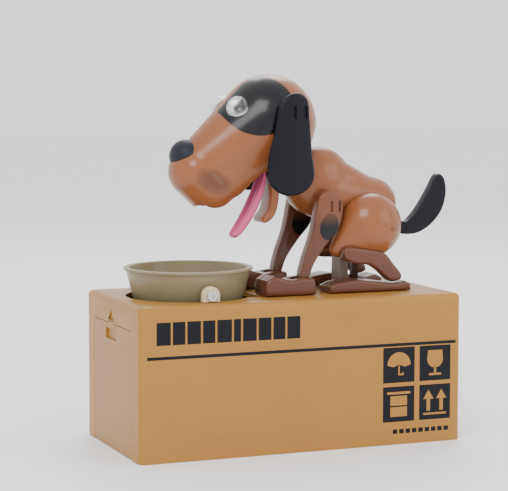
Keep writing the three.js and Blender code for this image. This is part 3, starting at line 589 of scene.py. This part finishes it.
def earShape():
    outer = -ear["inner"] - ear["thick"]
    flap = slab(ear["outline"], outer, -ear["inner"], ear["round"], 6, 5)
    z = head["earPivot"][1]
    slots = [cuboid(x - ear["slotHalf"], x + ear["slotHalf"], outer - 2, outer + ear["slotDeep"],
                    z + ear["slotLow"], z + ear["slotHigh"], ear["slotRound"], 2) for x in ear["slotX"]]
    stub = barY(head["earPivot"], -ear["inner"] - ear["stubOut"], -ear["inner"] + ear["stubIn"], ear["stub"])
    return joined(flap, *[("DIFFERENCE", slot) for slot in slots], ("UNION", stub))


for side in ("left", "right"):
    toPiece("ear" + side.title(), sided(earShape, side), "navy", side + "_ear", ("ear_" + side,), 45)

# ---------- jaw and tongue ----------
jaw = {"outline": [(-4.2, 66), (-3.6, 52), (-4.6, 42.6), (-8, 37.2), (-7.2, 35), (-3.4, 37), (-0.6, 42),
                   (0.8, 52), (1.2, 66), (-1.4, 67.6)],
       "half": 7.0, "round": 1.3, "pivot": (-2, 64.7), "stub": 1.2, "stubHalf": 11}
tongue = {"spine": [(-6.2, 61.0), (-7.6, 54.0), (-10.6, 46.0), (-14.8, 38.0), (-19.6, 31.2), (-22.6, 28.2)],
          "half": [4.6, 5.3, 5.6, 5.5, 4.6, 2.0], "thick": [2.0, 3.6, 4.6, 4.6, 4.0, 2.2],
          "steps": 7,
          "section": [(-1.0, -0.1), (-0.98, 0.22), (-0.86, 0.42), (-0.6, 0.5), (-0.34, 0.36), (-0.14, 0.28),
                      (0, 0.02), (0.14, 0.28), (0.34, 0.36), (0.6, 0.5), (0.86, 0.42), (0.98, 0.22),
                      (1.0, -0.1), (0.9, -0.34), (0.66, -0.48), (0.33, -0.5), (0, -0.5), (-0.33, -0.5),
                      (-0.66, -0.48), (-0.9, -0.34)]}
jawBody = joined(slab(jaw["outline"], -jaw["half"], jaw["half"], jaw["round"], 6, 4),
                 ("UNION", barY(jaw["pivot"], -jaw["stubHalf"], jaw["stubHalf"], jaw["stub"])))
toPiece("lowerJaw", jawBody, "tan", "lower_jaw", ("jaw",), 45)


def tongueShape():
    # stations along a curved spine, each a rounded section with a groove along its upper face
    mesh = bmesh.new()
    spine = [Vector(p) for p in tongue["spine"]]
    section = tongue["section"]
    rings = []
    steps = tongue["steps"]
    for index in range(len(spine) - 1):
        a, b = spine[max(index - 1, 0)], spine[index]
        c, d = spine[index + 1], spine[min(index + 2, len(spine) - 1)]
        last = index == len(spine) - 2
        for step in range(steps + (1 if last else 0)):
            t = step / steps
            spot = 0.5 * (2 * b + (c - a) * t + (2 * a - 5 * b + 4 * c - d) * t * t
                          + (3 * b - a - 3 * c + d) * t ** 3)
            way = ((c - a) + (4 * a - 10 * b + 8 * c - 2 * d) * t
                   + (9 * b - 3 * a - 9 * c + 3 * d) * t * t).normalized()
            out = Vector((way.y, -way.x)) # towards the upper face
            ease = math.sqrt(1 - t * t) if last else 1.0
            start, end = tongue["half"][index], tongue["half"][index + 1]
            half = end + (start - end) * (ease if last else 1 - t)
            thick = tongue["thick"][index] * (1 - t) + tongue["thick"][index + 1] * t
            ring = []
            for across, up in section:
                shift = out * (up * thick)
                ring.append(mesh.verts.new(at(spot.x + shift.x, spot.y + shift.y, across * half)))
            rings.append(ring)
    for first, second in zip(rings, rings[1:]):
        for k in range(len(section)):
            n = (k + 1) % len(section)
            mesh.faces.new((first[k], first[n], second[n], second[k]))
    mesh.faces.new(rings[0])
    mesh.faces.new(rings[-1])
    bmesh.ops.recalc_face_normals(mesh, faces=mesh.faces)
    return mesh


tonguePiece = toPiece("tongueFlap", tongueShape(), "pink", "lower_jaw", ("tongue",), 75)
rounder = tonguePiece.modifiers.new("rounder", "SUBSURF")
rounder.levels = rounder.render_levels = 2
print("ears, jaw and tongue")

# ---------- torso ----------
nearly = 0.001 # less at a capsule's second end
torso = {"chest": (24, 54.7), "chestRadius": 18, "chestFlat": 0.74, "loin": (30, 49.7), "loinRadius": 13,
         "rump": (54, 43.2), "rumpRadius": 13.4, "wall": 1.8, "neckFoot": (22, 58), "neck": (8, 73.7),
         "neckHole": 4.9, "slot": (29, 53), "slotHalf": 5.2, "slotTop": 40.7, "fill": (32, 56.5),
         "fillEnd": (50, 46.6), "fillRadius": 10.6, "grain": 0.8, "rounds": 18}


def torsoSkin(less=0.0):
    r = torso["chestRadius"]
    chest = blob(torso["chest"], (r - less, r * torso["chestFlat"] - less, r - less), 0, 64, 40)
    loin = capsule(torso["loin"], torso["loinRadius"] - less, torso["rump"],
                   torso["rumpRadius"] - less - nearly)
    return joined(chest, ("UNION", loin))


def torsoShell():
    neckHole = capsule(torso["neckFoot"], torso["neckHole"], torso["neck"], torso["neckHole"] - nearly,
                       1, 32, 8)
    slot = cuboid(*torso["slot"], -torso["slotHalf"], torso["slotHalf"], 0, torso["slotTop"])
    fill = capsule(torso["fill"], torso["fillRadius"], torso["fillEnd"], torso["fillRadius"] - nearly)
    outer = melted(joined(torsoSkin(), ("UNION", fill)), torso["grain"], torso["rounds"])
    return cut(outer, torsoSkin(torso["wall"]), slot, neckHole)


for side in ("left", "right"):
    toPiece("torsoShell" + side.title(), half(torsoShell(), side), "tan", "torso", ("torso_" + side,), 40)
print("torso")

# ---------- tail ----------
tail = {"outline": [(61, 37.6), (68, 34.6), (73.6, 33.4), (77.6, 36.6), (81.8, 41.8), (87, 50), (90.6, 56.4),
                    (93.2, 57.6), (95.8, 54.6), (96.6, 47.2), (94, 38.6), (88.2, 31.8), (81, 27.6),
                    (73, 26.8), (66, 28.6), (61, 32)],
        "half": 3.0, "round": 2.2, "clear": -0.5}
tailBody = cut(slab(tail["outline"], -tail["half"], tail["half"], tail["round"], 8, 6),
               torsoSkin(tail["clear"]))
toPiece("tailCurl", tailBody, "navy", "tail_arm", ("tail",), 50)
print("tail")

# ---------- legs and feet ----------
frontLeg = {"outline": [(21.4, 51.2), (27.4, 49), (29.4, 42.4), (27, 32.6), (20.4, 24.6), (13.8, 15.4),
                        (10.6, 7.4), (8.6, 6.2), (6.2, 8.4), (8.4, 18), (12.6, 30), (15, 42), (16.6, 48.6)],
            "inner": 14.3, "outer": 20.7, "round": 2.0, "shoulder": (21.4, 44.2), "bore": 1.95,
            "boreSkin": 1.4, "slotX": (22.3, 26.6), "slotWide": 1.3, "slotDeep": 1.3, "slotLow": -3.4,
            "slotHigh": 2.2}
paw = {"outline": [(-13.8, 0.3), (-14.6, 4), (-13.4, 8), (-9.5, 10.2), (-4.6, 8.8), (-0.4, 7.8), (7.1, 8.8),
                   (12, 8.2), (12.8, 4), (12.6, 0.3)],
       "y": 17.5, "wide": 16.6, "round": 1.7, "wall": 1.8, "sideWall": 2, "narrow": 0.84, "toe": 3.0,
       "groove": 0.45, "socket": (1.4, 12, -21.5, -13.5, 1, 14),
       "toeCut": [(-17, 3.8), (-14.0, 3.8), (-12.9, 8.2), (-8.6, 9.4), (-8.6, 14), (-17, 14)]}
thigh = {"haunch": (47.2, 33.2), "radius": 16.2, "knee": (28.8, 21.8), "kneeRadius": 4.2, "inner": 14.3,
         "outer": 28.0, "wall": 2.0, "kneeWall": 1.6, "slotDeep": 2.4, "slotZ": (38.7, 31.9),
         "slotX": (52.3, 57.2), "slotHalf": 0.8}
foot = {"outline": [(21.4, 0.3), (20.9, 3.4), (24.9, 5.2), (35.4, 6.7), (47, 5.4), (56.2, 4), (62.5, 5.3),
                    (65.8, 3.6), (66, 0.3)],
        "y": 16.5, "wide": 15.0, "round": 1.5, "toe": 2.7, "groove": 0.45,
        "toeCut": [(20, 2.4), (23.2, 2.4), (24.8, 4.4), (28.6, 5.0), (28.6, 9), (20, 9)]}
shin = {"outline": [(29, 17.6), (30, 23), (42, 22), (51, 19.6), (56.2, 14), (60.6, 8.6), (59.6, 5.8),
                    (54, 5.4), (47.4, 11), (42, 13.9), (34.6, 14.6)],
        "low": -24.2, "high": -17.4, "round": 1.9, "clear": 0.4}
thighFlat = (thigh["outer"] - thigh["inner"]) / thigh["radius"]


def legShape():
    leg = slab(frontLeg["outline"], -frontLeg["outer"], -frontLeg["inner"], frontLeg["round"], 6, 5)
    z = frontLeg["shoulder"][1]
    face = -frontLeg["outer"]
    slots = [cuboid(x, x + frontLeg["slotWide"], face - 2, face + frontLeg["slotDeep"],
                    z + frontLeg["slotLow"], z + frontLeg["slotHigh"], 0.2, 2) for x in frontLeg["slotX"]]
    bore = barY(frontLeg["shoulder"], face + frontLeg["boreSkin"], 0, frontLeg["bore"])
    return cut(leg, bore, *slots)


def sidesOf(part):
    return -part["y"] - part["wide"] / 2, -part["y"] + part["wide"] / 2


def toeGrooves(part):
    middles = [-part["y"] + way * part["toe"] for way in (-1, 1)]
    return [slab(part["toeCut"], y - part["groove"], y + part["groove"], 0) for y in middles]


def pawShape():
    low, high = sidesOf(paw)
    body = slab(paw["outline"], low, high, paw["round"], 0, 5)
    inside = [(x * paw["narrow"], -3 if z < 1 else z - paw["wall"]) for x, z in paw["outline"]]
    hollow = slab(inside, low + paw["sideWall"], high - paw["sideWall"], 0)
    return cut(body, hollow, cuboid(*paw["socket"]), *toeGrooves(paw))


def thighSkin(less=0.0, kneeLess=0.0):
    mesh = capsule(thigh["haunch"], thigh["radius"] - less, thigh["knee"], thigh["kneeRadius"] - kneeLess,
                   thighFlat)
    bmesh.ops.translate(mesh, verts=mesh.verts, vec=(0, -thigh["inner"] * mm, 0))
    return mesh


def thighShape():
    away = cuboid(-20, 120, -thigh["inner"], 80, -60, 120)
    face = -thigh["outer"]
    slots = [cuboid(*thigh["slotX"], face - 2, face + thigh["slotDeep"], z - thigh["slotHalf"],
                    z + thigh["slotHalf"], 0.25, 2) for z in thigh["slotZ"]]
    return cut(thighSkin(), away, thighSkin(thigh["wall"], thigh["kneeWall"]), *slots)


def footShape():
    return cut(slab(foot["outline"], *sidesOf(foot), foot["round"], 0, 5), *toeGrooves(foot))


def shinShape():
    body = slab(shin["outline"], shin["low"], shin["high"], shin["round"], 6, 4)
    return cut(body, thighSkin(-shin["clear"], -shin["clear"]))


for side in ("left", "right"):
    name = side.title()
    toPiece("frontLeg" + name, sided(legShape, side), legPaint, side + "_leg", ("front_leg_" + side,), 40)
    toPiece("frontPaw" + name, sided(pawShape, side), "dusk", "base", ("front_paw_" + side,), 40)
    toPiece("thighShell" + name, sided(thighShape, side), "tan", "base", ("thigh_" + side,), 40)
    toPiece("shinBar" + name, sided(shinShape, side), "dusk", "base", ("shin_" + side,), 40)
    toPiece("hindFoot" + name, sided(footShape, side), "dusk", "base", ("hind_foot_" + side,), 40)
print("legs and feet")

# ---------- bowl ----------
bowl = {"x": -45.5, "rim": 32.0, "base": 27.0, "depth": 18.0, "rimZ": 14.2, "wall": 1.6, "lip": 1.3,
        "axis": (-46.3, 3.3), "bossOut": 31.1, "boss": 2.6, "bossIn": 0.8, "bore": 1.55, "boreDeep": 2.2,
        "coinWay": 28.0, "floorEdge": -23.0, "wayLong": 20, "wayHigh": 7}


def bowlAt(z):
    low = bowl["rimZ"] - bowl["depth"]
    return bowl["base"] + (bowl["rim"] - 0.9 - bowl["base"]) * (z - low) / bowl["depth"]


def bowlShape():
    low = bowl["rimZ"] - bowl["depth"]
    rim, rimZ, lip, wall = bowl["rim"], bowl["rimZ"], bowl["lip"], bowl["wall"]
    profile = [(0, low), (bowl["base"] - 1.8, low), (bowl["base"] - 0.6, low + 0.35),
               (bowl["base"], low + 1.2), (bowlAt(rimZ - lip), rimZ - lip), (rim - 0.25, rimZ - lip),
               (rim, rimZ - lip + 0.3),
               (rim, rimZ - 0.35), (rim - 0.35, rimZ), (rim - lip - wall + 0.5, rimZ),
               (rim - lip - wall, rimZ - 0.4), (bowlAt(low + 3.4) - wall, low + 3.4),
               (bowl["base"] - 2.6, low + wall + 0.5), (bowl["base"] - 4, low + wall), (0, low + wall)]
    cup = turned(profile, at(bowl["x"], 0), sides=96)
    inner, outer = bowlAt(bowl["axis"][1]) - bowl["bossIn"], bowl["bossOut"]
    boss = [barY(bowl["axis"], -outer, -inner, bowl["boss"]), barY(bowl["axis"], inner, outer, bowl["boss"])]
    bore = [barY(bowl["axis"], -outer - 1, -outer + bowl["boreDeep"], bowl["bore"]),
            barY(bowl["axis"], outer - bowl["boreDeep"], outer + 1, bowl["bore"])]
    way = cuboid(bowl["floorEdge"], bowl["floorEdge"] + bowl["wayLong"], -bowl["coinWay"] / 2,
                 bowl["coinWay"] / 2, low - 1, low + bowl["wayHigh"])
    return joined(cup, *[("UNION", part) for part in boss], *[("DIFFERENCE", part) for part in bore],
                  ("DIFFERENCE", way))


toPiece("tippingBowl", bowlShape(), "olive", "coin_bowl", ("bowl",), 38)

# ---------- box, door and print ----------
refined("box_shell", "kraft", 0.3)
refined("coin_door", "kraft", 0.5)
plain = {
    "kraft": ["base_plate", "battery_cover"],
    "taupe": ["divider_wall", "battery_tray", "switch_body", "gearbox_plate_near", "gearbox_plate_far",
              "gearbox_spacer", "support_post"],
    "label": ["battery_1", "battery_2"],
    "umber": ["push_rod", "neck_link"],
    "navy": ["switch_slider", "bowl_switch"],
    "nylon": ["crank_gear", "compound_gear", "motor_pinion"],
    "board": ["circuit_board"],
    "cream": ["bowl_bracket_left", "bowl_bracket_right"],
}
metal = ["battery_contact_near", "battery_contact_far", "battery_cover_screw", "motor", "crank_axle",
         "compound_axle", "hip_pin", "rod_pin", "shoulder_pin", "neck_pin", "bowl_screw_left",
         "bowl_screw_right"]
for look, names in plain.items():
    for name in names:
        refined(name, look, 0.2 if "gear" not in name and "pinion" not in name else 0.0)
for name in metal:
    refined(name, steel, 0.12)
print("box and mechanism")

printing = {"face": -42.0, "thick": 0.06, "ruleX": (-81.2, 81.7), "ruleZ": (-25.0, -23.5),
            "titleX": -76.5, "titleZ": (-18.2, -7.4), "titleGap": 1.05,
            "titleWidths": (7, 6.2, 6.8, 6.2, 7.4, 3.6, 7, 6.6, 6.2, 6.8), "iconX": (41.5, 61.6),
            "iconZ": (-62.8, -43.2), "iconWide": 17.3, "iconTall": 17.6, "dashX": (47, 79),
            "dashZ": (-68.8, -66.6), "dashes": 9, "dashShare": 0.7, "overlap": 0.02, "iconLift": 0.05}


def printed(name, outline, look="ink", lift=0.0):
    face = printing["face"] - lift
    mesh = slab(outline, face - printing["thick"], face + printing["overlap"], 0)
    return toPiece(name, mesh, look, "base", (), 40)


def panel(x0, x1, z0, z1):
    return [(x0, z0), (x1, z0), (x1, z1), (x0, z1)]


printed("printRule", panel(*printing["ruleX"], *printing["ruleZ"]))
spot = printing["titleX"]
for index, width in enumerate(printing["titleWidths"]):
    low, high = printing["titleZ"]
    printed(f"printBar{index + 1}", panel(spot, spot + width, low, high))
    spot += width + printing["titleGap"]
dashStart, dashEnd = printing["dashX"]
pitch = (dashEnd - dashStart) / printing["dashes"]
for index in range(printing["dashes"]):
    x = dashStart + index * pitch
    printed(f"printDash{index + 1}", panel(x, x + pitch * printing["dashShare"], *printing["dashZ"]))


def arc(cx, cz, radius, start, end, count):
    return [(cx + radius * math.cos(math.radians(start + (end - start) * i / count)),
             cz + radius * math.sin(math.radians(start + (end - start) * i / count)))
            for i in range(count + 1)]


def iconMarks(cx, cz):
    # keep dry, fragile, this way up and stack limit, as generic packing marks
    umbrella = [arc(cx, cz, 6.4, 0, 180, 16) + [(cx - 3.2, cz - 1.0), (cx, cz + 0.2), (cx + 3.2, cz - 1.0)],
                [(cx - 0.4, cz - 0.4), (cx - 0.4, cz - 5.2), (cx + 2.6, cz - 5.2), (cx + 2.6, cz - 3.8),
                 (cx + 1.8, cz - 3.8), (cx + 1.8, cz - 4.4), (cx + 0.4, cz - 4.4), (cx + 0.4, cz - 0.4)]]
    goblet = [arc(cx, cz + 2.0, 4.4, 180, 360, 12) + [(cx + 4.0, cz + 6.4), (cx - 4.0, cz + 6.4)],
              panel(cx - 0.6, cx + 0.6, cz - 5.0, cz - 2.2), panel(cx - 3.4, cx + 3.4, cz - 6.2, cz - 5.1)]
    arrows = [[(x - 1.0, cz - 4.4), (x + 1.0, cz - 4.4), (x + 1.0, cz + 1.6), (x + 2.9, cz + 1.6),
               (x, cz + 6.2), (x - 2.9, cz + 1.6), (x - 1.0, cz + 1.6)] for x in (cx - 3.6, cx + 3.6)]
    arrows.append(panel(cx - 6.4, cx + 6.4, cz - 6.4, cz - 5.4))
    crates = [panel(cx - 4.6, cx + 4.6, cz - 6.2, cz - 1.4), panel(cx - 4.6, cx + 4.6, cz - 0.7, cz + 4.1),
              panel(cx - 6.4, cx + 6.4, cz + 5.0, cz + 6.2)]
    return {"keepDry": umbrella, "fragile": goblet, "thisWayUp": arrows, "stackLimit": crates}


places = {"keepDry": (0, 1), "fragile": (1, 1), "stackLimit": (0, 0), "thisWayUp": (1, 0)}
for name, (column, row) in places.items():
    x, z = printing["iconX"][column], printing["iconZ"][row]
    wide, tall = printing["iconWide"], printing["iconTall"]
    printed(name + "Square", panel(x, x + wide, z, z + tall))
    for index, outline in enumerate(iconMarks(x + wide / 2, z + tall / 2)[name]):
        printed(f"{name}Mark{index + 1}", outline, "kraft", printing["iconLift"])
print("print")

# ---------- floor, lights and camera ----------
floorMesh = bmesh.new()
bmesh.ops.create_grid(floorMesh, x_segments=1, y_segments=1, size=6.0)
floorData = bpy.data.meshes.new("floor")
floorMesh.to_mesh(floorData)
floorMesh.free()
floor = bpy.data.objects.new("floor", floorData)
bpy.context.scene.collection.objects.link(floor)
floorLook = Tree("floorLook")
floorLook.set(Base_Color=rgb(0.93, 0.93, 0.93), Roughness=0.6)
floorData.materials.append(floorLook.material)

world = bpy.data.worlds.new("studio")
bpy.context.scene.world = world
world.use_nodes = True
world.node_tree.nodes["Background"].inputs["Color"].default_value = (1.0, 1.0, 1.0, 1.0)
world.node_tree.nodes["Background"].inputs["Strength"].default_value = 1.5

lamps = {
    "keyLamp": {"at": (-0.55, -0.75, 0.95), "power": 8.0, "size": 0.55},
    "fillLamp": {"at": (0.75, -0.8, 0.55), "power": 3.0, "size": 0.7},
    "rimLamp": {"at": (0.35, 0.8, 0.9), "power": 5.0, "size": 0.6},
}
target = Vector((0, 0, 0.09))
for name, lamp in lamps.items():
    data = bpy.data.lights.new(name, "AREA")
    data.energy = lamp["power"]
    data.size = lamp["size"]
    thing = bpy.data.objects.new(name, data)
    thing.location = Vector(lamp["at"])
    thing.rotation_euler = (target - thing.location).to_track_quat("-Z", "Y").to_euler()
    bpy.context.scene.collection.objects.link(thing)

shot = {"azimuth": -22.24, "elevation": 4.57, "roll": 0.12, "place": (-344.2, -820.7, 103.3),
        "lens": 125.7, "shift": (-0.0065, -0.0356)}
camera = bpy.data.objects.new("camera", bpy.data.cameras.new("camera"))
bpy.context.scene.collection.objects.link(camera)
azimuth, elevation = math.radians(shot["azimuth"]), math.radians(shot["elevation"])
back = Vector((math.sin(azimuth) * math.cos(elevation), -math.cos(azimuth) * math.cos(elevation),
               math.sin(elevation)))
camera.location = at(shot["place"][0], shot["place"][2], shot["place"][1])
look = (-back).to_track_quat("-Z", "Y").to_matrix() @ Matrix.Rotation(math.radians(shot["roll"]), 3, "Z")
camera.rotation_euler = look.to_euler()
camera.data.lens = shot["lens"]
camera.data.sensor_width = 36.0
camera.data.shift_x, camera.data.shift_y = shot["shift"]
camera.data.clip_end = 20.0
bpy.context.scene.camera = camera

print("scene ready")
